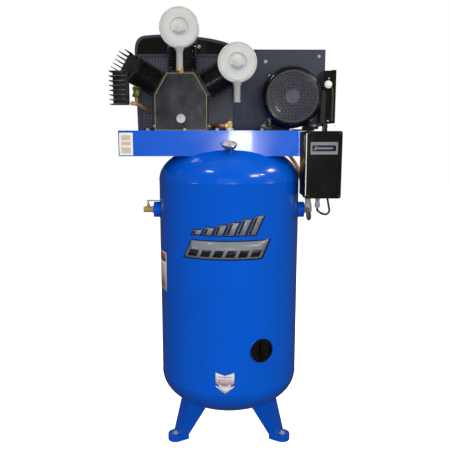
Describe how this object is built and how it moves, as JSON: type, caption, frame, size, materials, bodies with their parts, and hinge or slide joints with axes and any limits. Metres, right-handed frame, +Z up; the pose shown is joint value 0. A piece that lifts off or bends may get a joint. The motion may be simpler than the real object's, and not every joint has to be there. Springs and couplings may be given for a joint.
{
  "type": "vertical tank air compressor",
  "caption": "Stationary two-stage piston air compressor: upright tank on three legs, belt-driven pump and electric motor on a deck, starter box at the side.",
  "frame": {"origin": "centre of the whole part's footprint box, on the floor; the tank's axis stands 13 mm to +X and 2 mm to -Y of it", "axes": "+Z up; -Y is the front, where the gauge, the pump's cover and the starter box's door face; +X is the motor's side"},
  "size_m": [0.9379, 0.614, 1.835],
  "materials": {
    "tank_paint": "gloss blue enamel",
    "pump_iron": "black enamel over sand-cast iron",
    "bare_steel": "zinc plated steel",
    "brass_fittings": "turned brass",
    "copper_pipe": "bare copper pipe",
    "gauge_case_steel": "black painted steel",
    "gauge_glass": "clear lens",
    "black_paint": "gloss black enamel",
    "black_plastic": "black moulded plastic",
    "red_plastic": "red moulded plastic",
    "piston_alloy": "machined aluminium",
    "filter_plastic": "milky translucent plastic",
    "belt_rubber": "black rubber",
    "guard_paint": "satin slate grey enamel"
  },
  "bodies": {
    "frame": {"ball_valve_body": "brass_fittings", "belt_band": "belt_rubber", "belt_guard_back": "guard_paint", "belt_guard_front": "guard_paint", "check_valve": "brass_fittings", "control_box": "black_paint", "control_cable": "belt_rubber", "coupling_left": "tank_paint", "coupling_right": "tank_paint", "crankcase": "pump_iron", "cylinder_center": "pump_iron", "cylinder_left": "pump_iron", "cylinder_right": "pump_iron", "deck": "tank_paint", "discharge_pipe_lower": "copper_pipe", "discharge_pipe_upper": "copper_pipe", "drain_valve_body": "brass_fittings", "fan_cowl": "black_paint", "filter_center": "filter_plastic", "filter_right": "filter_plastic", "front_cover": "pump_iron", "gauge_case": "gauge_case_steel", "gauge_lens": "gauge_glass", "gland_plate": "bare_steel", "hand_hole_cover": "pump_iron", "hand_hole_ring": "tank_paint", "hand_hole_yoke": "bare_steel", "head_center": "pump_iron", "head_left": "pump_iron", "head_right": "pump_iron", "intercooler": "pump_iron", "leg_front_left": "tank_paint", "leg_front_right": "tank_paint", "leg_rear": "tank_paint", "motor_base": "black_paint", "motor_frame": "black_paint", "motor_starter": "black_plastic", "oil_filler": "brass_fittings", "pressure_manifold": "brass_fittings", "pressure_switch": "black_plastic", "relief_valve": "brass_fittings", "sight_glass": "bare_steel", "switch_conduit": "bare_steel", "tank_shell": "tank_paint", "terminal_box": "black_paint"},
    "crank_train": {"crankshaft": "bare_steel", "flywheel": "pump_iron"},
    "motor_train": {"motor_rotor": "bare_steel", "motor_fan": "black_paint", "motor_sheave": "pump_iron"},
    "piston_left_body": {"piston_left": "piston_alloy"},
    "piston_center_body": {"piston_center": "piston_alloy"},
    "piston_right_body": {"piston_right": "piston_alloy"},
    "valve_lever": {"ball_valve_lever": "black_paint"},
    "drain_tap": {"drain_handle": "brass_fittings"},
    "needle": {"gauge_needle": "gauge_case_steel"},
    "pull_ring": {"relief_ring": "bare_steel"},
    "switch_lever": {"unloader_lever": "red_plastic"},
    "box_door": {"control_cover": "black_paint"},
    "reset": {"reset_button": "red_plastic"}
  },
  "joints": [
    {"name": "crank_spin", "type": "hinge", "parent": "frame", "child": "crank_train", "pos_m": [-0.183, -0.002, 1.495], "axis": [0, 1, 0], "continuous": true},
    {"name": "motor_spin", "type": "hinge", "parent": "frame", "child": "motor_train", "pos_m": [0.268, -0.002, 1.498], "axis": [0, 1, 0], "continuous": true},
    {"name": "piston_center_slide", "type": "slide", "parent": "frame", "child": "piston_center_body", "axis": [0, 0, 1], "range_m": [0, 0.07]},
    {"name": "piston_left_slide", "type": "slide", "parent": "frame", "child": "piston_left_body", "axis": [-0.866, 0, 0.5], "range_m": [-0.0144, 0.0556]},
    {"name": "piston_right_slide", "type": "slide", "parent": "frame", "child": "piston_right_body", "axis": [0.866, 0, 0.5], "range_m": [-0.0144, 0.0556]},
    {"name": "valve_lever_turn", "type": "hinge", "parent": "frame", "child": "valve_lever", "pos_m": [-0.344, -0.002, 1.02], "axis": [0, 0, 1], "range_deg": [0, 90]},
    {"name": "drain_tap_turn", "type": "hinge", "parent": "frame", "child": "drain_tap", "pos_m": [0.013, 0.108, 0.116], "axis": [0, 1, 0], "range_deg": [0, 90]},
    {"name": "needle_turn", "type": "hinge", "parent": "frame", "child": "needle", "pos_m": [0.013, -0.202, 1.27729], "axis": [0, -0.4067, 0.9135], "range_deg": [-270, 0]},
    {"name": "pull_ring_slide", "type": "slide", "parent": "frame", "child": "pull_ring", "axis": [0, 0, 1], "range_m": [0, 0.005], "stiffness_N_per_m": 400, "springref_m": -0.002},
    {"name": "switch_lever_turn", "type": "hinge", "parent": "frame", "child": "switch_lever", "pos_m": [0.30028, 0.26052, 1.167], "axis": [-0.6157, 0.788, 0], "range_deg": [0, 50]},
    {"name": "box_door_turn", "type": "hinge", "parent": "frame", "child": "box_door", "pos_m": [0.469, -0.16, 1.2245], "axis": [0, 0, 1], "range_deg": [0, 110]},
    {"name": "reset_press", "type": "slide", "parent": "frame", "child": "reset", "axis": [0, 1, 0], "range_m": [0, 0.003], "stiffness_N_per_m": 400, "springref_m": -0.001}
  ],
  "couplings": [
    {"joint": "motor_spin", "follows": "crank_spin", "ratio": 2.1383}
  ]
}
